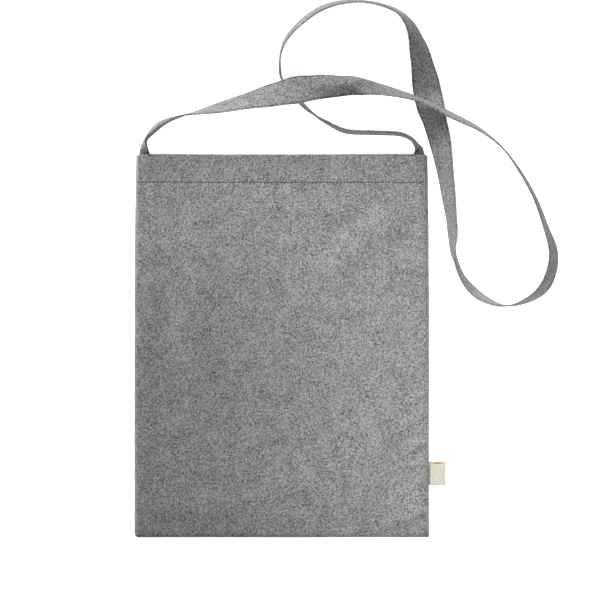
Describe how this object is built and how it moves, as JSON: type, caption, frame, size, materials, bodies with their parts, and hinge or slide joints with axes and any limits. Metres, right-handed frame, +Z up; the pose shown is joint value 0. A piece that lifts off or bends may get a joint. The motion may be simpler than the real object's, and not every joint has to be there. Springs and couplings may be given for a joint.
{
  "type": "cotton shoulder bag",
  "caption": "Soft unlined cotton shoulder bag lying flat on its back, open along a hemmed mouth, with a long flat strap laid in loops above it and a loop label in the side seam.",
  "frame": {"origin": "middle of the back panel's lower face, on the surface that the bag lies on", "axes": "+X to the bag's right side seam, +Y towards its mouth, +Z up from the surface"},
  "size_m": [0.4231, 0.5368, 0.0444],
  "materials": {
    "grey_cotton": "matte flecked plain weave",
    "cream_tape": "matte woven tape"
  },
  "bodies": {
    "root": {"back_panel": "grey_cotton", "front_panel": "grey_cotton", "shoulder_strap": "grey_cotton", "side_label": "cream_tape"}
  },
  "joints": []
}
